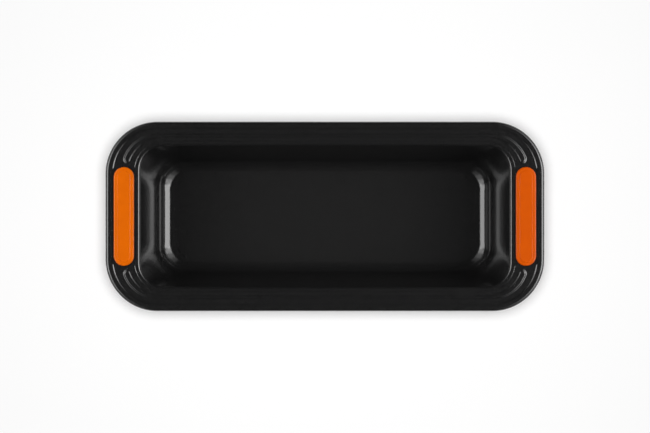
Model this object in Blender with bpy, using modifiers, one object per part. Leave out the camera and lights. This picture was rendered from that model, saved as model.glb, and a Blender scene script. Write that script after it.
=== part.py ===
"""Long loaf tin with a wired rim and a soft grip in each end flange.

Four pieces: the pan, pressed from one steel sheet; the wire that its rim is curled round;
and two silicone grips, each buttoned through a slot in an end flange.
Metres, +X along the tin, +Z up. The origin is under the middle of the base, on the surface
that the tin stands on.
"""

import math
from collections import namedtuple

import bmesh
import bpy

# Overall sizes
LENGTH = 0.350
WIDTH = 0.1512
RIM_HEIGHT = 0.070
OUTER_CORNER = 0.0416
SHEET = 0.001

# Clearance between two pieces that touch
FIT_GAP = 0.0003

# Curled rim, rolled outwards and under
CURL_RADIUS = 0.0025
CURL_SWEEP = math.radians(292.5)

# High outer band of the flange, and the step down from it
BAND_WIDTH = 0.0053
BAND_STEP_DROP = 0.0006
STEP_RUN = 0.0012

# Raised bead, narrow along the sides and wide at the ends of the tin, where it stops short
# of the grip in a round end
BEAD_HEIGHT = 0.0008
BEAD_OUTER_INSET = 0.0097
BEAD_SIDE_WIDTH = 0.0031
BEAD_END_WIDTH = 0.0087
BEAD_OUTER_RUN = 0.0008
BEAD_INNER_RUN_SHARE = 0.28
BEAD_INNER_CORNER = 0.0258
BEAD_TIP_TO_GRIP = 0.0038

# Ledge round the mouth, one more step down
LEDGE_SIDE_INSET = 0.0157
LEDGE_END_INSET = 0.0227
LEDGE_CORNER = 0.0246
LEDGE_STEP_DROP = 0.0007

# Mouth of the cavity, measured where the wall starts below the folded lip
MOUTH_SIDE_INSET = 0.0197
MOUTH_END_INSET = 0.0277
MOUTH_CORNER = 0.0198
LIP_RADIUS = 0.0028

# Wall, foot and base
DRAFT = math.radians(9.5)
END_FOOT_RADIUS = 0.0142
SIDE_FOOT_RADIUS = 0.0108
BASE_CORNER = 0.003
PANEL_BORDER = 0.0004
PANEL_DROP = 0.0003
PANEL_STEP_RUN = 0.0003
PANEL_CORNER = 0.0105

# Silicone grip: a cap above the flange, a waist in the slot and a foot below the flange
GRIP_WIDTH = 0.0162
GRIP_INSET = 0.01455
GRIP_TO_SIDE = 0.0362
CAP_THICKNESS = 0.0016
CAP_SHOULDER = 0.0011
CAP_LAP = 0.0021
RECESS_WIDTH = 0.0106
RECESS_DEPTH = 0.0003
RECESS_EDGE = 0.0003
FOOT_LAP = 0.0014
FOOT_THICKNESS = 0.0018
FOOT_CHAMFER = 0.0006

# Facets
CURL_STEPS = 13
LIP_STEPS = 4
FOOT_STEPS = 6
SHOULDER_STEPS = 3
CORNER_STEPS = 6
BEAD_END_STEPS = 3
BEFORE_BEAD_STEPS = 2
GRIP_END_STEPS = 6
SHADE_ANGLE = math.radians(35)

# Finishes: colour, roughness, metallic
COATING = ("non_stick_coating", (0.012, 0.012, 0.012, 1.0), 0.3, 0.0)
WIRE_STEEL = ("rim_wire_steel", (0.55, 0.55, 0.56, 1.0), 0.35, 1.0)
SILICONE = ("orange_silicone", (0.72, 0.13, 0.01, 1.0), 0.55, 0.0)

# One closed line round the tin: its inset from the outer edge on the long sides and at the
# ends, its plan corner radius, its height, and its place across the bead (-1 to 1) or None
Line = namedtuple("Line", "side end corner height across", defaults=[None])

# Heights of the flange's levels, from the outer edge inwards
MIDDLE_LEVEL = RIM_HEIGHT - BAND_STEP_DROP
LEDGE_LEVEL = MIDDLE_LEVEL - LEDGE_STEP_DROP

# The base is flat inside the foot's radius, a little above the panel that the tin stands on
BASE_LEVEL = SHEET + PANEL_DROP

# The grip ends at the same distance from each long side
GRIP_LENGTH = WIDTH - 2 * GRIP_TO_SIDE

# The slot that the grip's waist passes through
SLOT_LENGTH = GRIP_LENGTH - 2 * CAP_LAP
SLOT_WIDTH = GRIP_WIDTH - 2 * CAP_LAP


def clear_scene():
    for item in list(bpy.data.objects):
        bpy.data.objects.remove(item, do_unlink=True)


def new_collection(name):
    group = bpy.data.collections.new(name)
    bpy.context.scene.collection.children.link(group)
    return group


def make_material(finish):
    name, colour, roughness, metallic = finish
    material = bpy.data.materials.new(name)
    material.use_nodes = True
    shader = material.node_tree.nodes["Principled BSDF"]
    shader.inputs["Base Color"].default_value = colour
    shader.inputs["Roughness"].default_value = roughness
    shader.inputs["Metallic"].default_value = metallic
    material.diffuse_color = colour
    return material


def even_steps(start, stop, steps):
    return [start + (stop - start) * step / steps for step in range(steps + 1)]


def from_outer_edge(inset, height, across=None):
    """A line parallel to the tin's outer edge."""
    return Line(inset, inset, OUTER_CORNER - inset, height, across)


def from_mouth(distance, height):
    """A line parallel to the mouth, at a distance outside it."""
    corner = MOUTH_CORNER + distance
    return Line(MOUTH_SIDE_INSET - distance, MOUTH_END_INSET - distance, corner, height)


def curl_lines():
    """The rolled edge, from its hidden free end up to the outer band."""
    lines = []
    for angle in even_steps(math.pi / 2 - CURL_SWEEP, math.pi / 2, CURL_STEPS):
        inset = CURL_RADIUS * (1 - math.cos(angle))
        height = RIM_HEIGHT - CURL_RADIUS * (1 - math.sin(angle))
        lines.append(from_outer_edge(inset, height))
    return lines


def bead_inner_line(share, height, across):
    """A line near the bead's inner foot; share 1 is the foot, and 0 the bead's outer foot."""
    side = BEAD_OUTER_INSET + BEAD_SIDE_WIDTH * share
    end = BEAD_OUTER_INSET + BEAD_END_WIDTH * share
    outer_corner = OUTER_CORNER - BEAD_OUTER_INSET
    corner = outer_corner + (BEAD_INNER_CORNER - outer_corner) * share
    return Line(side, end, corner, height, across)


def ledge_line(inset, height):
    """A line along the step down to the ledge, at a small inset from the step's middle."""
    return Line(LEDGE_SIDE_INSET + inset, LEDGE_END_INSET + inset, LEDGE_CORNER - inset, height)


def flange_lines():
    """Outer band, first step, bead and second step."""
    bead_top = MIDDLE_LEVEL + BEAD_HEIGHT
    across_top = -1 + 2 * BEAD_OUTER_RUN / BEAD_END_WIDTH
    return [
        from_outer_edge(BAND_WIDTH - STEP_RUN / 2, RIM_HEIGHT),
        from_outer_edge(BAND_WIDTH + STEP_RUN / 2, MIDDLE_LEVEL),
        from_outer_edge(BEAD_OUTER_INSET, MIDDLE_LEVEL, -1),
        from_outer_edge(BEAD_OUTER_INSET + BEAD_OUTER_RUN, bead_top, across_top),
        bead_inner_line(1 - BEAD_INNER_RUN_SHARE, bead_top, 1 - 2 * BEAD_INNER_RUN_SHARE),
        bead_inner_line(1, MIDDLE_LEVEL, 1),
        ledge_line(-STEP_RUN / 2, MIDDLE_LEVEL),
        ledge_line(STEP_RUN / 2, LEDGE_LEVEL),
    ]


def lip_lines():
    """The fold from the ledge down into the wall."""
    lines = []
    reach = math.cos(DRAFT)
    for angle in even_steps(0, math.pi / 2 - DRAFT, LIP_STEPS):
        distance = LIP_RADIUS * (reach - math.sin(angle))
        lines.append(from_mouth(distance, LEDGE_LEVEL - LIP_RADIUS * (1 - math.cos(angle))))
    return lines


def wall_run(height, foot_radius):
    """How far the wall has run inwards from the mouth at a height, down to the flat base."""
    wall_top = LEDGE_LEVEL - LIP_RADIUS * (1 - math.sin(DRAFT))
    wall_foot = BASE_LEVEL + foot_radius * (1 - math.sin(DRAFT))
    if height >= wall_foot:
        return (wall_top - height) * math.tan(DRAFT)
    full_run = (wall_top - wall_foot) * math.tan(DRAFT) + foot_radius * math.cos(DRAFT)
    rise = foot_radius - (height - BASE_LEVEL)
    return full_run - math.sqrt(max(0, foot_radius ** 2 - rise ** 2))


def wall_lines():
    """The drafted wall's foot, and its large radius down to the flat base."""
    full_run = wall_run(BASE_LEVEL, END_FOOT_RADIUS)
    lines = []
    for angle in even_steps(math.pi / 2 - DRAFT, 0, FOOT_STEPS):
        height = BASE_LEVEL + END_FOOT_RADIUS * (1 - math.cos(angle))
        end_run = wall_run(height, END_FOOT_RADIUS)
        side_run = wall_run(height, SIDE_FOOT_RADIUS)
        corner = MOUTH_CORNER + (BASE_CORNER - MOUTH_CORNER) * end_run / full_run
        side = MOUTH_SIDE_INSET + side_run
        lines.append(Line(side, MOUTH_END_INSET + end_run, corner, height))
    return lines


def panel_lines(flat_edge):
    """The base panel, set down a little inside the foot's radius."""
    lines = []
    for inset, height in ((PANEL_BORDER, BASE_LEVEL), (PANEL_BORDER + PANEL_STEP_RUN, SHEET)):
        lines.append(Line(flat_edge.side + inset, flat_edge.end + inset, PANEL_CORNER, height))
    return lines


def bead_columns(bead_middle):
    """Places from the end of the tin round to its side, with steps for the bead's round end.

    A place is an angle round the corner, and one below zero is on the straight end before it.
    Each is paired with the bead's width there, as a share of its full width.
    """
    tip_y = GRIP_LENGTH / 2 + BEAD_TIP_TO_GRIP
    centre_y = WIDTH / 2 - bead_middle.side - bead_middle.corner
    past_centre = (tip_y - centre_y) / bead_middle.corner
    tip_angle = math.asin(past_centre) if past_centre > 0 else past_centre
    round_angle = BEAD_END_WIDTH / 2 / bead_middle.corner
    angles = even_steps(0, tip_angle, BEFORE_BEAD_STEPS)
    for turn in even_steps(0, math.pi / 2, BEAD_END_STEPS)[1:]:
        angles.append(tip_angle + round_angle * (1 - math.cos(turn)))
    angles += even_steps(max(0, angles[-1]), math.pi / 2, CORNER_STEPS)
    columns = []
    for angle in sorted(set(angles)):
        past_tip = min(max((angle - tip_angle) / round_angle, 0), 1)
        columns.append((angle, math.sqrt(1 - (1 - past_tip) ** 2)))
    return columns


def quarter_points(line, columns, bead_middle):
    """One quarter of a line, from the middle of the tin's end to the middle of its side."""
    def corner_point(shape, angle):
        centre_y = WIDTH / 2 - shape.side - shape.corner
        if angle < 0:
            return LENGTH / 2 - shape.end, centre_y + bead_middle.corner * angle
        x = LENGTH / 2 - shape.end - shape.corner * (1 - math.cos(angle))
        return x, centre_y + shape.corner * math.sin(angle)

    points = [(LENGTH / 2 - line.end, 0, MIDDLE_LEVEL if line.across is not None else line.height)]
    for angle, bead_share in columns:
        x, y = corner_point(line, angle)
        height = line.height
        if line.across is not None and bead_share == 0:
            height = MIDDLE_LEVEL
        if line.across is not None and bead_share > 0:
            middle_x, middle_y = corner_point(bead_middle, angle)
            x = middle_x + (x - middle_x) * bead_share
            y = middle_y + (y - middle_y) * bead_share
        points.append((x, y, height))
    points.append((0, WIDTH / 2 - line.side, line.height))
    return points


def full_loop(quarter):
    """Four mirrored quarters as one anticlockwise loop, each shared point once."""
    second = [(-x, y, z) for x, y, z in reversed(quarter[:-1])]
    half = quarter + second
    other = [(-x, -y, z) for x, y, z in half[1:-1]]
    return half + other


def loft(name, loops, close_start, close_end):
    """A skin through loops of equally many points; a closed end gets one flat face."""
    mesh = bpy.data.meshes.new(name)
    skin = bmesh.new()
    rows = [[skin.verts.new(point) for point in loop] for loop in loops]
    count = len(rows[0])
    for row, following in zip(rows, rows[1:]):
        for place in range(count):
            after = (place + 1) % count
            skin.faces.new((row[place], row[after], following[after], following[place]))
    if close_start:
        skin.faces.new(reversed(rows[0]))
    if close_end:
        skin.faces.new(rows[-1])
    skin.normal_update()
    skin.to_mesh(mesh)
    skin.free()
    return mesh


def add_object(name, data, collection, material=None):
    item = bpy.data.objects.new(name, data)
    collection.objects.link(item)
    if material is not None:
        data.materials.append(material)
    return item


def shade_round(mesh):
    mesh.shade_smooth()
    mesh.set_sharp_from_angle(angle=SHADE_ANGLE)


def obround_points(length, width, height):
    """A long hole's outline: two half circles joined by straight sides, along Y."""
    radius = width / 2
    straight = length / 2 - radius
    points = []
    for middle, start in ((straight, 0), (-straight, math.pi)):
        for angle in even_steps(start, start + math.pi, 2 * GRIP_END_STEPS):
            points.append((radius * math.cos(angle), middle + radius * math.sin(angle), height))
    return points


def grip_place(side):
    """X of a grip and of its slot; side is -1 at the left and 1 at the right."""
    return side * (LENGTH / 2 - GRIP_INSET)


def make_slot_cutter(side, collection):
    loops = [
        obround_points(SLOT_LENGTH, SLOT_WIDTH, MIDDLE_LEVEL - SHEET - CURL_RADIUS),
        obround_points(SLOT_LENGTH, SLOT_WIDTH, MIDDLE_LEVEL + CURL_RADIUS),
    ]
    cutter = add_object("slot_cutter", loft("slot_cutter", loops, True, True), collection)
    cutter.location.x = grip_place(side)
    cutter.hide_render = True
    cutter.display_type = "WIRE"
    return cutter


def make_pan(collection, cutters, columns, bead_middle):
    """The pressed sheet: its upper skin is lofted, then given its thickness and its slots."""
    lines = curl_lines() + flange_lines() + lip_lines() + wall_lines()
    lines += panel_lines(lines[-1])
    loops = [full_loop(quarter_points(line, columns, bead_middle)) for line in lines]
    mesh = loft("tin_body", loops, False, True)
    shade_round(mesh)
    pan = add_object("tin_body", mesh, collection, make_material(COATING))
    wall = pan.modifiers.new("sheet", "SOLIDIFY")
    wall.thickness = SHEET
    wall.offset = -1
    wall.use_even_offset = True
    for side in (-1, 1):
        cut = pan.modifiers.new("slot", "BOOLEAN")
        cut.operation = "DIFFERENCE"
        cut.solver = "EXACT"
        cut.object = make_slot_cutter(side, cutters)
    return pan


def make_rim_wire(collection, columns, bead_middle):
    """The closed wire ring inside the curl, which keeps the rim stiff."""
    middle = from_outer_edge(CURL_RADIUS, RIM_HEIGHT - CURL_RADIUS)
    points = full_loop(quarter_points(middle, columns, bead_middle))
    curve = bpy.data.curves.new("rim_wire", "CURVE")
    curve.dimensions = "3D"
    curve.bevel_depth = CURL_RADIUS - SHEET - FIT_GAP
    curve.bevel_resolution = 2
    spline = curve.splines.new("POLY")
    spline.points.add(len(points) - 1)
    for point, place in zip(spline.points, points):
        point.co = (*place, 1)
    spline.use_cyclic_u = True
    return add_object("rim_wire", curve, collection, make_material(WIRE_STEEL))


def grip_sections():
    """Length lost, and height, of each section from the recess down to the foot's underside.

    A loss of zero is the cap's full outline, and every section is an obround.
    """
    cap_top = MIDDLE_LEVEL + FIT_GAP + CAP_THICKNESS
    recess_loss = (GRIP_WIDTH - RECESS_WIDTH) / 2
    waist_loss = CAP_LAP + FIT_GAP
    foot_loss = CAP_LAP - FOOT_LAP
    foot_top = MIDDLE_LEVEL - SHEET - FIT_GAP
    foot_bottom = foot_top - FOOT_THICKNESS
    sections = [(recess_loss + RECESS_EDGE, cap_top - RECESS_DEPTH), (recess_loss, cap_top)]
    for angle in even_steps(0, math.pi / 2, SHOULDER_STEPS):
        loss = CAP_SHOULDER * (1 - math.sin(angle))
        sections.append((loss, cap_top - CAP_SHOULDER * (1 - math.cos(angle))))
    sections += [
        (0, MIDDLE_LEVEL + FIT_GAP),
        (waist_loss, MIDDLE_LEVEL + FIT_GAP),
        (waist_loss, foot_top),
        (foot_loss, foot_top),
        (foot_loss, foot_bottom + FOOT_CHAMFER),
        (foot_loss + FOOT_CHAMFER, foot_bottom),
    ]
    return sections


def make_grips(collection):
    """One shape, used at both ends."""
    loops = []
    for loss, height in grip_sections():
        loops.append(obround_points(GRIP_LENGTH - 2 * loss, GRIP_WIDTH - 2 * loss, height))
    mesh = loft("grip", loops[::-1], True, True)
    shade_round(mesh)
    mesh.materials.append(make_material(SILICONE))
    for name, side in (("left_grip", -1), ("right_grip", 1)):
        grip = add_object(name, mesh, collection)
        grip.location.x = grip_place(side)


def main():
    clear_scene()
    parts = new_collection("loaf_tin")
    cutters = new_collection("cutters")
    bead_middle = bead_inner_line(0.5, MIDDLE_LEVEL, 0)
    columns = bead_columns(bead_middle)
    make_pan(parts, cutters, columns, bead_middle)
    make_rim_wire(parts, columns, bead_middle)
    make_grips(parts)


main()
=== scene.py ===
import math
from collections import namedtuple

import bpy
from mathutils import Matrix, Vector


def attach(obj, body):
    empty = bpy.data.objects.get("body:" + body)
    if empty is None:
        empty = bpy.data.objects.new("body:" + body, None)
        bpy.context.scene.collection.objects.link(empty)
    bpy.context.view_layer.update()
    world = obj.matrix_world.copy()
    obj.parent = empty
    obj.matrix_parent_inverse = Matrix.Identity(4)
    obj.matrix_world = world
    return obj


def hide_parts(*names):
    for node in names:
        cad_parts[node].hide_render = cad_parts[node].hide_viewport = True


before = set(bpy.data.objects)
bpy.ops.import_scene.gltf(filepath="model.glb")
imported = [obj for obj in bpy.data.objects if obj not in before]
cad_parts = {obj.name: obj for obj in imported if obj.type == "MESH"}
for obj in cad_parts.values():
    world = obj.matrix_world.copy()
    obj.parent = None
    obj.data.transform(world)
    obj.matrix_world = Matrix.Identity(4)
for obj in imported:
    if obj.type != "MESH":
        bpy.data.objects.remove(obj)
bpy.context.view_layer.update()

mm = 0.001

# The pan: one sheet of steel, 1 mm thick, sprayed all over with a dark grey non-stick coating.
# The press draws the cavity, steps the flange and raises a bead along each side of it, from
# grip to grip. The edge is rolled outwards and under, round a wire.

tin_length = 350.0 * mm
tin_width = 151.2 * mm
rim_height = 70.0 * mm
rim_corner = 41.6 * mm
sheet = 1.0 * mm

curl_radius = 2.5 * mm
curl_sweep = math.radians(292.5)

band_step_side_inset = 5.3 * mm
band_step_end_inset = 6.0 * mm
band_step_drop = 0.6 * mm
band_step_run = 1.3 * mm
band_step_side_run = 3.0 * mm
band_step_corner_run = 2.8 * mm
band_step_level_inset = 5.6 * mm
band_step_level_run = 4.6 * mm

bead_height = 0.8 * mm
bead_side_inset = 9.7 * mm
bead_end_inset = 12.6 * mm
bead_side_width = 3.1 * mm
bead_end_width = 5.9 * mm
bead_corner = 28.9 * mm
bead_outer_share = 0.26
bead_inner_share = 0.36
bead_tip_y = 42.4 * mm

# The bead keeps its height up to this turn round a corner, and has a share of it along the side
bead_full_turn = math.radians(50)
bead_side_share = 0.7

ledge_side_inset = 15.7 * mm
ledge_end_inset = 23.3 * mm
ledge_corner = 23.6 * mm
ledge_step_drop = 0.36 * mm
ledge_step_run = 1.1 * mm
ledge_step_level_inset = 22.2 * mm
ledge_step_level_run = 3.6 * mm

# Beside a grip the flange is nearly level: the two steps are long and gentle there
level_half_length = 34.0 * mm
level_fade = 6.0 * mm

mouth_side_inset = 19.7 * mm
mouth_end_inset = 27.85 * mm
mouth_corner = 19.2 * mm
lip_radius = 2.8 * mm
draft = math.radians(9.5)
end_foot_radius = 14.2 * mm
side_foot_radius = 10.8 * mm
corner_bulge = 4.0 * mm
base_corner = 17.5 * mm

panel_drop = 0.1 * mm
panel_step_inset = 0.55 * mm
panel_step_run = 0.7 * mm
panel_corner = 17.1 * mm

slot_length = 74.6 * mm
slot_width = 12.0 * mm
grip_x = tin_length / 2 - 14.85 * mm

coat_dark = (0.0068, 0.0068, 0.0070, 1)
coat_light = (0.0138, 0.0137, 0.0137, 1)
coat_speckle = 1.5 * mm
coat_patch = 22 * mm
coat_grain = 0.5 * mm
coat_relief = 0.004 * mm
coat_roughness = (0.12, 0.15)
coat_index = 1.80

# Painted light and shade: the base is painted paler than the rest of the coating, as if lit in its
# middle, and darker up the foot and towards the ends, as if shaded by the walls
painted_light_base_dark = (0.0086, 0.0085, 0.0085, 1)
painted_light_base_light = (0.0167, 0.0165, 0.0163, 1)
painted_light_heights = (1.1 * mm, 3.4 * mm)
painted_light_reaches = (60 * mm, 125 * mm)

# A short row of its own beside each bend keeps the flat next to it flat
guard = 0.15 * mm

# Faces that meet at more than this show an edge
crease = math.radians(35)

middle_level = rim_height - band_step_drop
ledge_level = middle_level - ledge_step_drop
base_level = sheet + panel_drop

# One closed line round the tin: its inset from the outer edge on the long sides and at the
# ends, its corner radius seen from above, its height, its place across the bead, and how much
# farther in it lies beside a grip. Its place across the bead is -1 at the bead's outer foot,
# 1 at its inner foot, and farther out for every line that isn't on the bead. A step has its
# middle line and its widths as a Round.
Line = namedtuple("Line", "side end corner height across shift")
Round = namedtuple("Round", "side end corner")
off_bead = 3.0


def even(start, stop, steps, first=0):
    """Values at even steps from start to stop."""
    return [start + (stop - start) * step / steps for step in range(first, steps + 1)]


def ease(share):
    """A smooth step from 0 to 1."""
    return share * share * (3 - 2 * share)


def beside_rim(inset, height):
    return Line(inset, inset, rim_corner - inset, height, off_bead, 0)


def step(middle, runs, height, drop, level_inset, level_run):
    """An eased step down, centred on a line, and its place and run where the flange is level."""
    lines = []
    for share in [-guard / runs.end, *even(0, 1, 9), 1 + guard / runs.end]:
        side = middle.side + runs.side * (share - 0.5)
        end = middle.end + runs.end * (share - 0.5)
        corner = middle.corner - runs.corner * (share - 0.5)
        level = height - drop * ease(min(max(share, 0), 1))
        shift = level_inset + level_run * (share - 0.5) - end
        lines.append(Line(side, end, corner, level, off_bead, shift))
    return lines


def curl_and_band():
    lines = []
    for angle in even(math.pi / 2 - curl_sweep, math.pi / 2, 26):
        inset = curl_radius * (1 - math.cos(angle))
        lines.append(beside_rim(inset, rim_height - curl_radius * (1 - math.sin(angle))))
    lines.append(beside_rim(curl_radius + guard, rim_height))
    middle = Round(band_step_side_inset, band_step_end_inset, rim_corner - band_step_side_inset)
    runs = Round(band_step_side_run, band_step_run, band_step_corner_run)
    return lines + step(middle, runs, rim_height, band_step_drop, band_step_level_inset,
                        band_step_level_run)


def bead_line(share):
    """A line at a share of the bead's width; the bead is narrow on the sides, wide at the ends."""
    side, end = bead_side_inset + bead_side_width * share, bead_end_inset + bead_end_width * share
    return Line(side, end, bead_corner, middle_level, 2 * share - 1, 0)


def bead_lines():
    shares = [-guard / bead_end_width, *even(0, bead_outer_share, 7)]
    shares += even(bead_outer_share, 1 - bead_inner_share, 6, first=1)
    shares += even(1 - bead_inner_share, 1, 8, first=1) + [1 + guard / bead_end_width]
    return [bead_line(share) for share in shares]


def ledge_lines():
    middle = Round(ledge_side_inset, ledge_end_inset, ledge_corner)
    runs = Round(ledge_step_run, ledge_step_run, ledge_step_run)
    return step(middle, runs, middle_level, ledge_step_drop, ledge_step_level_inset,
                ledge_step_level_run)


def beside_mouth(distance, height):
    side, end = mouth_side_inset - distance, mouth_end_inset - distance
    return Line(side, end, mouth_corner + distance, height, off_bead, 0)


def lip_lines():
    reach = math.cos(draft)
    lines = [beside_mouth(lip_radius * reach + guard / 2, ledge_level)]
    for angle in even(0, math.pi / 2 - draft, 18):
        distance = lip_radius * (reach - math.sin(angle))
        lines.append(beside_mouth(distance, ledge_level - lip_radius * (1 - math.cos(angle))))
    return lines


def wall_run(height, foot_radius):
    """How far in from the mouth the wall is at a height."""
    top = ledge_level - lip_radius * (1 - math.sin(draft))
    foot = base_level + foot_radius * (1 - math.sin(draft))
    if height >= foot:
        return (top - height) * math.tan(draft)
    full = (top - foot) * math.tan(draft) + foot_radius * math.cos(draft)
    rise = foot_radius - (height - base_level)
    return full - math.sqrt(max(0, foot_radius ** 2 - rise ** 2))


def wall_lines():
    """The walls, whose corners open on the way down and close again at the foot."""
    top = ledge_level - lip_radius * (1 - math.sin(draft))
    foot = base_level + end_foot_radius * (1 - math.sin(draft))
    heights = [top - 2 * guard] + even(top, foot, 5)[1:-1] + [foot + 2 * guard]
    for angle in even(math.pi / 2 - draft, 0, 30):
        heights.append(base_level + end_foot_radius * (1 - math.cos(angle)))
    full_run = wall_run(base_level, end_foot_radius)
    lines = []
    for height in heights:
        end_run = wall_run(height, end_foot_radius)
        side = mouth_side_inset + wall_run(height, side_foot_radius)
        share = end_run / full_run
        corner = mouth_corner + (base_corner - mouth_corner) * share
        corner += corner_bulge * 4 * share * (1 - share)
        lines.append(Line(side, mouth_end_inset + end_run, corner, height, off_bead, 0))
    return lines


def panel_lines(edge):
    """The shallow panel of the base, in to the line along the middle of the tin."""
    def inside(inset, corner, height):
        return Line(edge.side + inset, edge.end + inset, corner, height, off_bead, 0)
    start = panel_step_inset - panel_step_run / 2
    lines = [inside(start - guard, panel_corner, base_level)]
    for share in even(0, 1, 7):
        height = base_level - panel_drop * ease(share)
        lines.append(inside(start + panel_step_run * share, panel_corner, height))
    last = inside(start + panel_step_run + guard, panel_corner, sheet)
    middle = tin_width / 2 - last.side
    lines.append(last)
    for share in even(0, 1, 4, first=1):
        side, end = last.side + middle * share, last.end + middle * share
        lines.append(Line(side, end, panel_corner * (1 - share), sheet, off_bead, 0))
    return lines


section = curl_and_band() + bead_lines() + ledge_lines() + lip_lines() + wall_lines()
section += panel_lines(section[-1])

# Places round one quarter of the tin: share of the straight end, angle round the corner, and
# share of the straight side that is still ahead. They lie closest where the bead ends.
quarter = [(share, 0, 1) for share in (0, 0.3, 0.6, 0.85, 0.95)]
corner_degrees = [0, 2, 4] + even(6, 34, 22) + even(34, 90, 23, first=1)
quarter += [(1, math.radians(angle), 1) for angle in corner_degrees]
quarter += [(1, math.pi / 2, share) for share in (0.96, 0.85, 0.6, 0.3, 0)]
plan = []
for sign_x, sign_y, places in (
    (1, 1, quarter), (-1, 1, quarter[-2::-1]), (-1, -1, quarter[1:]), (1, -1, quarter[-2::-1])
):
    plan += [(sign_x, sign_y, *place) for place in places]


def point_table(name, rows, columns):
    """A mesh of loose points that carry numbers for a node tree to read."""
    mesh = bpy.data.meshes.new(name)
    mesh.vertices.add(len(rows))
    for column, values in zip(columns, zip(*rows)):
        mesh.attributes.new(column, "FLOAT", "POINT").data.foreach_set("value", values)
    item = bpy.data.objects.new(name, mesh)
    bpy.context.scene.collection.objects.link(item)
    return item


def feed(tree, socket, value):
    if isinstance(value, bpy.types.NodeSocket):
        tree.links.new(value, socket)
    else:
        socket.default_value = value


def add(tree, kind, fed=None, **settings):
    """A new node; fed gives its inputs by name or number, as values or as other sockets."""
    node = tree.nodes.new(kind)
    for name, value in settings.items():
        setattr(node, name, value)
    for key, value in (fed or {}).items():
        feed(tree, node.inputs[key], value)
    return node


def sums(tree, operation, *values):
    """The result of one sum, on values or on other sockets."""
    return add(tree, "ShaderNodeMath", dict(enumerate(values)), operation=operation).outputs[0]


def eased(tree, value, start, stop, low, high):
    """A smooth step from low to high, as the value goes from start to stop."""
    fed = {"Value": value, "From Min": start, "From Max": stop, "To Min": low, "To Max": high}
    node = add(tree, "ShaderNodeMapRange", fed, interpolation_type="SMOOTHSTEP")
    return node.outputs["Result"]


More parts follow.
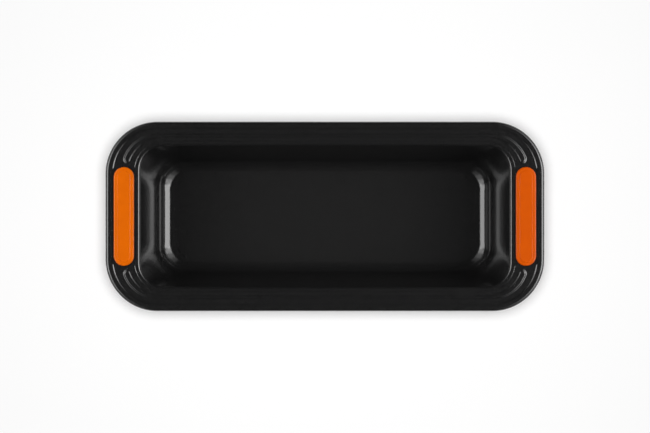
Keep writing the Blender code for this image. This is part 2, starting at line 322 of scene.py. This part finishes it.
def press_tree(sizes, coating):
    """Sweeps the section round the plan and lays the bead on the flange; its sizes are inputs."""
    tree = bpy.data.node_groups.new("press_the_sheet", "GeometryNodeTree")
    sockets = tree.interface
    sockets.new_socket("Section", in_out="INPUT", socket_type="NodeSocketGeometry")
    sockets.new_socket("Plan", in_out="INPUT", socket_type="NodeSocketObject")
    for name in sizes:
        sockets.new_socket(name, in_out="INPUT", socket_type="NodeSocketFloat")
    sockets.new_socket("Tin", in_out="OUTPUT", socket_type="NodeSocketGeometry")
    given = add(tree, "NodeGroupInput").outputs
    plan_item = add(tree, "GeometryNodeObjectInfo", {"Object": given["Plan"]})
    plan_points = plan_item.outputs["Geometry"]

    def count(points):
        size = add(tree, "GeometryNodeAttributeDomainSize", {0: points})
        return size.outputs["Point Count"]

    rows, columns = count(given["Section"]), count(plan_points)
    grid = add(tree, "GeometryNodeMeshGrid", {"Vertices X": rows, "Vertices Y": columns})
    index = add(tree, "GeometryNodeInputIndex").outputs[0]
    row = sums(tree, "FLOOR", sums(tree, "DIVIDE", index, columns))
    column = sums(tree, "SUBTRACT", index, sums(tree, "MULTIPLY", row, columns))

    def read(points, name, place):
        value = add(tree, "GeometryNodeInputNamedAttribute", {"Name": name}, data_type="FLOAT")
        fed = {"Geometry": points, "Value": value.outputs["Attribute"], "Index": place}
        sample = add(tree, "GeometryNodeSampleIndex", fed, data_type="FLOAT", domain="POINT")
        return sample.outputs["Value"]

    corner = read(given["Section"], "corner", row)
    turn = read(plan_points, "turn", column)

    def along(size, inset, share, wave, sign):
        """One plan coordinate: the corner's centre, then the corner's own part."""
        half = sums(tree, "MULTIPLY", given[size], 0.5)
        centre = sums(tree, "SUBTRACT", half, inset)
        centre = sums(tree, "SUBTRACT", centre, corner)
        centre = sums(tree, "MULTIPLY", centre, read(plan_points, share, column))
        reach = sums(tree, "MULTIPLY_ADD", corner, sums(tree, wave, turn), centre)
        return sums(tree, "MULTIPLY", reach, read(plan_points, sign, column))

    # How far a place is from the bead's middle line, whose end is round: 1 at the bead's foot
    across = read(given["Section"], "across", row)
    short = sums(tree, "SUBTRACT", given["Bead End Angle"], turn)
    short = sums(tree, "MULTIPLY", short, given["Bead Radius"])
    short = sums(tree, "MAXIMUM", sums(tree, "DIVIDE", short, given["Bead Half Width"]), 0)
    squares = sums(tree, "ADD", sums(tree, "POWER", short, 2), sums(tree, "POWER", across, 2))
    reach = sums(tree, "SQRT", squares)
    inward = sums(tree, "DIVIDE", across, sums(tree, "MAXIMUM", reach, 0.01))
    run_share = sums(tree, "MULTIPLY_ADD", inward, 0.5, 0.5)
    fed = {0: run_share, 2: given["Bead Outer Run"], 3: given["Bead Inner Run"]}
    run = add(tree, "ShaderNodeMix", fed).outputs[0]
    rise = eased(tree, sums(tree, "SUBTRACT", 1, reach), 0, run, 0, 1)
    lower = eased(tree, turn, given["Bead Full Turn"], math.pi / 2, 1, given["Bead Side Share"])
    crest = sums(tree, "MULTIPLY", given["Bead Height"], lower)
    height = sums(tree, "MULTIPLY_ADD", rise, crest, read(given["Section"], "height", row))
    y = along("Width", read(given["Section"], "side", row), "side_share", "SINE", "sign_y")
    # Beside a grip the lines shift, which makes the steps long and gentle
    past_level = sums(tree, "SUBTRACT", sums(tree, "ABSOLUTE", y), given["Level Half Length"])
    level = eased(tree, past_level, 0, given["Level Fade"], 1, 0)
    end_inset = read(given["Section"], "end", row)
    end_inset = sums(tree, "MULTIPLY_ADD", level, read(given["Section"], "shift", row), end_inset)
    x = along("Length", end_inset, "end_share", "COSINE", "sign_x")
    place = add(tree, "ShaderNodeCombineXYZ", {"X": x, "Y": y, "Z": height})
    fed = {"Geometry": grid.outputs["Mesh"], "Position": place.outputs[0]}
    moved = add(tree, "GeometryNodeSetPosition", fed)
    fed = {"Geometry": moved.outputs[0], "Distance": 0.001 * mm}
    closed = add(tree, "GeometryNodeMergeByDistance", fed)
    outward = add(tree, "GeometryNodeFlipFaces", {0: closed.outputs[0]})
    smooth = add(tree, "GeometryNodeSetShadeSmooth", {"Geometry": outward.outputs[0]})
    real = add(tree, "GeometryNodeRealizeInstances", {"Geometry": smooth.outputs[0]})
    fed = {"Geometry": real.outputs[0], "Material": coating}
    coated = add(tree, "GeometryNodeSetMaterial", fed)
    add(tree, "NodeGroupOutput", {"Tin": coated.outputs[0]})
    return tree


def give_inputs(modifier, values):
    """Sets a tree's named inputs, each by its socket's identifier."""
    for item in modifier.node_group.interface.items_tree:
        if item.in_out == "INPUT" and item.name in values:
            modifier[item.identifier] = values[item.name]


def plain_mesh(item, name):
    """The evaluated object's mesh as a mesh of its own."""
    item.update_tag()
    evaluated = item.evaluated_get(bpy.context.evaluated_depsgraph_get())
    mesh = bpy.data.meshes.new_from_object(evaluated)
    mesh.name = name
    return mesh


def new_material(name):
    """A material, its node tree, its shader and the coordinates of its piece."""
    material = bpy.data.materials.new(name)
    material.use_nodes = True
    tree = material.node_tree
    shader = tree.nodes["Principled BSDF"]
    coordinates = add(tree, "ShaderNodeTexCoord").outputs["Object"]
    return material, tree, shader, coordinates


def speckle(tree, coordinates, size, detail=2.0):
    """Noise with grains of a given size."""
    fed = {"Vector": coordinates, "Scale": 1 / size, "Detail": detail}
    return add(tree, "ShaderNodeTexNoise", fed).outputs["Fac"]


def spread(tree, value, low, high, start=0.3, stop=0.7):
    """An even change from low to high, as the value goes from start to stop."""
    fed = {"Value": value, "From Min": start, "From Max": stop, "To Min": low, "To Max": high}
    return add(tree, "ShaderNodeMapRange", fed).outputs["Result"]


def blend(tree, share, first, second):
    """A mix of two colours, given as values or as other sockets."""
    return add(tree, "ShaderNodeMix", {0: share, 6: first, 7: second}, data_type="RGBA").outputs[2]


def roughen(tree, shader, grain, strength, depth):
    """Fine relief on a surface."""
    bump = add(tree, "ShaderNodeBump", {"Height": grain, "Strength": strength, "Distance": depth})
    feed(tree, shader.inputs["Normal"], bump.outputs["Normal"])


def make_coating():
    """Sprayed coating: satin dark grey, finely grained, uneven in gloss, with painted light and
    shade on the base.
    """
    material, tree, shader, coordinates = new_material("non_stick_coating")
    grain = speckle(tree, coordinates, coat_grain)
    patches = speckle(tree, coordinates, coat_patch, 3.0)
    shade = spread(tree, speckle(tree, coordinates, coat_speckle, 3.0), 0.0, 1.0)
    coat = blend(tree, shade, coat_dark, coat_light)
    # Painted light and shade: a paler copy of the coating, full on the middle of the base and
    # fading out up the foot and towards the ends
    painted_light_base_coat = blend(tree, shade, painted_light_base_dark, painted_light_base_light)
    place = add(tree, "ShaderNodeSeparateXYZ", {0: coordinates}).outputs
    low = spread(tree, place["Z"], 1.0, 0.0, *painted_light_heights)
    middle = spread(tree, sums(tree, "ABSOLUTE", place["X"]), 1.0, 0.0, *painted_light_reaches)
    painted_light_on_base = sums(tree, "MULTIPLY", low, middle)
    feed(tree, shader.inputs["Base Color"], blend(tree, painted_light_on_base, coat, painted_light_base_coat))
    feed(tree, shader.inputs["Roughness"], spread(tree, patches, *coat_roughness))
    shader.inputs["IOR"].default_value = coat_index
    roughen(tree, shader, grain, 0.25, coat_relief)
    return material


coating = make_coating()
section_points = point_table("pan", section, Line._fields)
plan_columns = ("sign_x", "sign_y", "side_share", "turn", "end_share")
plan_points = point_table("plan_points", plan, plan_columns)
bead_middle = bead_line(0.5)
bead_round = bead_end_width / 2
corner_middle_y = tin_width / 2 - bead_middle.side - bead_middle.corner
tip_angle = math.asin((bead_tip_y - corner_middle_y) / bead_middle.corner)
press_sizes = {
    "Length": tin_length,
    "Width": tin_width,
    "Bead Height": bead_height,
    "Bead Half Width": bead_round,
    "Bead Radius": bead_middle.corner,
    "Bead End Angle": tip_angle + bead_round / bead_middle.corner,
    "Bead Outer Run": 2 * bead_outer_share,
    "Bead Inner Run": 2 * bead_inner_share,
    "Bead Full Turn": bead_full_turn,
    "Bead Side Share": bead_side_share,
    "Level Half Length": level_half_length,
    "Level Fade": level_fade,
}
press = section_points.modifiers.new("press", "NODES")
press.node_group = press_tree(press_sizes, coating)
give_inputs(press, {"Plan": plan_points, **press_sizes})
pan = section_points
pan.data = plain_mesh(pan, "pan")
pan.modifiers.clear()
bpy.data.objects.remove(plan_points)


def obround(length, width, height, end_steps):
    """A long hole's outline along Y: two half circles joined by straight sides."""
    radius, straight = width / 2, (length - width) / 2
    points = []
    for middle, start in ((straight, 0), (-straight, math.pi)):
        for angle in even(start, start + math.pi, end_steps):
            points.append((radius * math.cos(angle), middle + radius * math.sin(angle), height))
    return points


def loft(name, loops):
    """A closed skin through loops of equally many points."""
    count = len(loops[0])
    points = [point for loop in loops for point in loop]
    faces = [tuple(reversed(range(count))), tuple(range(len(points) - count, len(points)))]
    for first in range(0, len(points) - count, count):
        for place in range(count):
            after = (place + 1) % count
            low = (first + place, first + after)
            faces.append((*low, first + count + after, first + count + place))
    mesh = bpy.data.meshes.new(name)
    mesh.from_pydata(points, [], faces)
    return mesh


# The sheet's thickness goes inwards from the pressed skin, and the slots are punched through
thickness = pan.modifiers.new("sheet", "SOLIDIFY")
thickness.thickness = sheet
thickness.offset = -1
thickness.use_quality_normals = True
punch_reach = 3 * mm
punches = []
for side in (-1, 1):
    heights = (middle_level - punch_reach, middle_level + punch_reach)
    loops = [obround(slot_length, slot_width, height, 32) for height in heights]
    punch = bpy.data.objects.new("punch", loft("punch", loops))
    bpy.context.scene.collection.objects.link(punch)
    punch.location.x = side * grip_x
    cut = pan.modifiers.new("slot", "BOOLEAN")
    cut.operation = "DIFFERENCE"
    cut.solver = "EXACT"
    cut.object = punch
    punches.append(punch)
pan.data = plain_mesh(pan, "pan")
pan.modifiers.clear()
for punch in punches:
    bpy.data.objects.remove(punch)
pan.data.set_sharp_from_angle(angle=crease)
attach(pan, "root")
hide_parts("tin_body")

# The rim wire: a ring of bright drawn steel wire, laid in the curl before it is rolled shut.
# Only a little of it can be seen, from below.

wire_dark = (0.40, 0.40, 0.41, 1)
wire_light = (0.60, 0.60, 0.60, 1)
wire_marks = 0.3 * mm
wire_relief = 0.01 * mm
wire_roughness = (0.25, 0.45)


def make_wire_steel():
    """Drawn wire: fine marks and a slightly uneven shine."""
    material, tree, shader, coordinates = new_material("rim_wire_steel")
    shader.inputs["Metallic"].default_value = 1.0
    marks = speckle(tree, coordinates, wire_marks, 4.0)
    feed(tree, shader.inputs["Base Color"], blend(tree, marks, wire_dark, wire_light))
    feed(tree, shader.inputs["Roughness"], spread(tree, marks, *wire_roughness))
    roughen(tree, shader, marks, 0.3, wire_relief)
    return material


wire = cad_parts["rim_wire"]
wire.data.materials.clear()
wire.data.materials.append(make_wire_steel())

# The grips: each is moulded in one piece of orange silicone, and is pushed through its slot
# like a button, with a cap that has a low pad along it, a waist in the slot and a foot below.

grip_length = 78.8 * mm
grip_width = 16.2 * mm
fit_gap = 0.3 * mm
cap_thickness = 1.6 * mm
cap_shoulder = 1.1 * mm
cap_lap = 2.1 * mm
pad_width = 10.6 * mm
pad_rise = 0.3 * mm
pad_edge = 0.5 * mm
foot_lap = 1.4 * mm
foot_thickness = 1.8 * mm
foot_chamfer = 0.6 * mm

# Painted light and shade: both grips are the same silicone, but the left one is painted a lighter
# orange, as if lit, and the right one a deeper orange, as if shaded. Both are a little uneven
lit_left_orange = (0.682, 0.125, 0.0003, 1)
lit_left_dark_orange = (0.642, 0.114, 0.0003, 1)
shaded_right_orange = (0.560, 0.079, 0.0003, 1)
shaded_right_dark_orange = (0.532, 0.072, 0.0003, 1)
silicone_cloud = 9 * mm
silicone_grain = 0.35 * mm
silicone_relief = 0.01 * mm
silicone_roughness = (0.19, 0.25)
silicone_index = 1.43
silicone_shine = 0.35


def grip_sections():
    """How much each outline is smaller than the cap, and its height, from the foot upwards."""
    bottom = middle_level + fit_gap
    top = bottom + cap_thickness
    ring_top = top - pad_rise
    waist = cap_lap + fit_gap
    foot = cap_lap - foot_lap
    foot_top = middle_level - sheet - fit_gap
    foot_bottom = foot_top - foot_thickness
    sections = []
    for angle in even(math.pi / 2, 0, 6):
        loss = foot + foot_chamfer * (1 - math.cos(angle))
        sections.append((loss, foot_bottom + foot_chamfer * (1 - math.sin(angle))))
    sections += [(foot, foot_top), (waist, foot_top), (waist, bottom), (0, bottom)]
    for angle in even(0, math.pi / 2, 14):
        loss = cap_shoulder * (1 - math.cos(angle))
        sections.append((loss, ring_top - cap_shoulder * (1 - math.sin(angle))))
    pad_loss = (grip_width - pad_width) / 2
    sections += [(cap_shoulder + guard, ring_top), (pad_loss - guard, ring_top)]
    for share in even(0, 1, 8):
        sections.append((pad_loss + pad_edge * share, ring_top + pad_rise * ease(share)))
    sections.append((pad_loss + pad_edge + guard, top))
    return sections


def make_silicone(name, colour, dark_colour):
    """Moulded silicone: satin, with a fine matt grain and faint clouds in the colour."""
    material, tree, shader, coordinates = new_material(name)
    clouds = speckle(tree, coordinates, silicone_cloud, 3.0)
    share = spread(tree, clouds, 0.0, 1.0)
    feed(tree, shader.inputs["Base Color"], blend(tree, share, dark_colour, colour))
    grain = speckle(tree, coordinates, silicone_grain)
    feed(tree, shader.inputs["Roughness"], spread(tree, grain, *silicone_roughness))
    shader.inputs["IOR"].default_value = silicone_index
    shader.inputs["Specular IOR Level"].default_value = silicone_shine
    roughen(tree, shader, grain, 0.3, silicone_relief)
    return material


# Painted light and shade: the left grip gets the lit copy of the silicone, the right grip the
# shaded copy
lit_left_silicone = make_silicone("orange_silicone", lit_left_orange, lit_left_dark_orange)
shaded_right_silicone = make_silicone("shaded_grip_silicone", shaded_right_orange, shaded_right_dark_orange)
loops = []
for loss, height in grip_sections():
    loops.append(obround(grip_length - 2 * loss, grip_width - 2 * loss, height, 48))
for name, node, side, silicone in (
    ("left_grip_skin", "left_grip", -1, lit_left_silicone),
    ("right_grip_skin", "right_grip", 1, shaded_right_silicone),
):
    mesh = loft(name, loops)
    mesh.shade_smooth()
    mesh.set_sharp_from_angle(angle=crease)
    mesh.transform(Matrix.Translation((side * grip_x, 0, 0)))
    mesh.materials.append(silicone)
    grip = bpy.data.objects.new(name, mesh)
    bpy.context.scene.collection.objects.link(grip)
    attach(grip, "root")
    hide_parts(node)

# The studio: a white table, a soft light beside each end of the tin, a dark ceiling, and soft
# lamps straight above that whiten the table and keep the tin's shadow short.

table_half = 4.0
table_top = -0.1 * mm
table_grey = (0.78, 0.78, 0.78, 1)

# The table glows to the eye, a little beside the tin and more where the lamp hardly reaches
table_glow_reaches = (0.4, 1.8)
table_glow_near, table_glow_far = 0.22, 0.95


def make_table():
    mesh = bpy.data.meshes.new("table")
    corners = []
    for side_x, side_y in ((-1, -1), (1, -1), (1, 1), (-1, 1)):
        corners.append((side_x * table_half, side_y * table_half, table_top))
    mesh.from_pydata(corners, [], [(0, 1, 2, 3)])
    material, tree, shader, coordinates = new_material("white_table")
    shader.inputs["Base Color"].default_value = table_grey
    shader.inputs["Roughness"].default_value = 0.8
    shader.inputs["Specular IOR Level"].default_value = 0.1
    rays = add(tree, "ShaderNodeLightPath").outputs
    seen = sums(tree, "MAXIMUM", rays["Is Camera Ray"], rays["Is Glossy Ray"])
    seen = sums(tree, "MAXIMUM", seen, rays["Is Transmission Ray"])
    shader.inputs["Emission Color"].default_value = (1, 1, 1, 1)
    away = add(tree, "ShaderNodeVectorMath", {0: coordinates}, operation="LENGTH")
    glow = spread(tree, away.outputs["Value"], table_glow_near, table_glow_far,
                  *table_glow_reaches)
    feed(tree, shader.inputs["Emission Strength"], sums(tree, "MULTIPLY", seen, glow))
    mesh.materials.append(material)
    table = bpy.data.objects.new("table", mesh)
    bpy.context.scene.collection.objects.link(table)
    return table


table = make_table()

# Every lamp lights either the table alone or all but the table
only_table = bpy.data.collections.new("only_table")
only_table.objects.link(table)
all_but_table = bpy.data.collections.new("all_but_table")
all_but_table.objects.link(table)
all_but_table.collection_objects[0].light_linking.link_state = "EXCLUDE"


def add_lamp(name, shape, size, radiance, place, aim, lights_up):
    """A lamp that is turned to its aim, and that lights only what lights_up holds."""
    lamp = bpy.data.lights.new(name, "AREA")
    lamp.shape = shape
    lamp.size, lamp.size_y = size
    area = size[0] * size[1] * (math.pi / 4 if shape == "DISK" else 1)
    lamp.energy = radiance * math.pi * area
    item = bpy.data.objects.new(name, lamp)
    bpy.context.scene.collection.objects.link(item)
    item.location = place
    item.rotation_euler = (Vector(place) - Vector(aim)).to_track_quat("Z", "Y").to_euler()
    item.light_linking.receiver_collection = lights_up
    return item


# Each soft light is a screen of seven panels that fades to both sides. A light has its side,
# its brightness, and the angles from straight up that it spans, seen from the foot of the far
# end wall. A panel has its turn round the tin, half its own width as an angle, and its share
# of the brightness.
light_distance = 0.9
far_foot_x = 0.15
far_foot_height = 0.02
soft_lights = (("right_light", 1, 4.3, 38.0, 72.0), ("left_light", -1, 3.35, 39.5, 69.0))
panels = (
    (0, 14, 1),
    (-20, 6, 0.55),
    (20, 6, 0.55),
    (-32, 6, 0.22),
    (32, 6, 0.22),
    (-44, 6, 0.08),
    (44, 6, 0.08),
)
for name, side, radiance, high, low in soft_lights:
    aim = Vector((-side * far_foot_x, 0, far_foot_height))
    slope, spread_angle = math.radians((high + low) / 2), math.radians((low - high) / 2)
    reach, rise = light_distance * math.sin(slope), light_distance * math.cos(slope)
    for turn, half_width, share in panels:
        turn, half_width = math.radians(turn), math.radians(half_width)
        place = aim + Vector((side * reach * math.cos(turn), reach * math.sin(turn), rise))
        size = (2 * reach * math.tan(half_width), 2 * light_distance * math.tan(spread_angle))
        add_lamp(name, "RECTANGLE", size, radiance * share, place, aim, all_but_table)

# Two soft lamps straight above, one for the table and a dimmer one for the tin, that aren't
# mirrored in the coating. Each has its share of the light that makes a white table just white.
lamp_height = 1.62
lamp_width = 0.44
full_light = lamp_height ** 2 / (math.pi / 4 * lamp_width ** 2) * math.pi
overhead_lamps = (("table_lamp", 1.04, only_table), ("tin_lamp", 0.35, all_but_table))
for name, share, lights_up in overhead_lamps:
    lamp = add_lamp(name, "DISK", (lamp_width, lamp_width), share * full_light,
                    (0, 0, lamp_height), (0, 0, 0), lights_up)
    lamp.visible_glossy = False

# The ceiling is almost black, with a paler band along the horizon and a faint glow overhead.
# Edges are given as the height of a direction, 0 for level and 1 for straight up.
band_edges = (0.02, 0.05)
band_strength, ceiling_strength = 1.0, 0.01
overhead_edges = (math.cos(math.radians(26)), math.cos(math.radians(15)))
overhead_strength = 0.5
world = bpy.data.worlds.new("studio")
bpy.context.scene.world = world
world.use_nodes = True
sky = world.node_tree
background = sky.nodes["Background"]
direction = add(sky, "ShaderNodeTexCoord").outputs["Generated"]
up = add(sky, "ShaderNodeSeparateXYZ", {0: direction}).outputs["Z"]
band = spread(sky, up, band_strength, ceiling_strength, *band_edges)
overhead = spread(sky, up, 0.0, overhead_strength, *overhead_edges)
feed(sky, background.inputs["Strength"], sums(sky, "ADD", band, overhead))

# The camera hangs straight above the tin, a fraction of a pixel off its middle. A pixel of
# the picture covers this width at the height of the rim.
camera_distance = 1.5
picture_width = 650
pixel = 0.7965 * mm
camera_x = 0.10 * pixel
camera_y = -0.07 * pixel
sensor_width = 36
camera = bpy.data.objects.new("camera", bpy.data.cameras.new("camera"))
bpy.context.scene.collection.objects.link(camera)
camera.data.sensor_width = sensor_width
camera.data.lens = sensor_width * camera_distance / (picture_width * pixel)
camera.location = (camera_x, camera_y, rim_height + camera_distance)
bpy.context.scene.camera = camera
bpy.context.scene.view_settings.view_transform = "Standard"
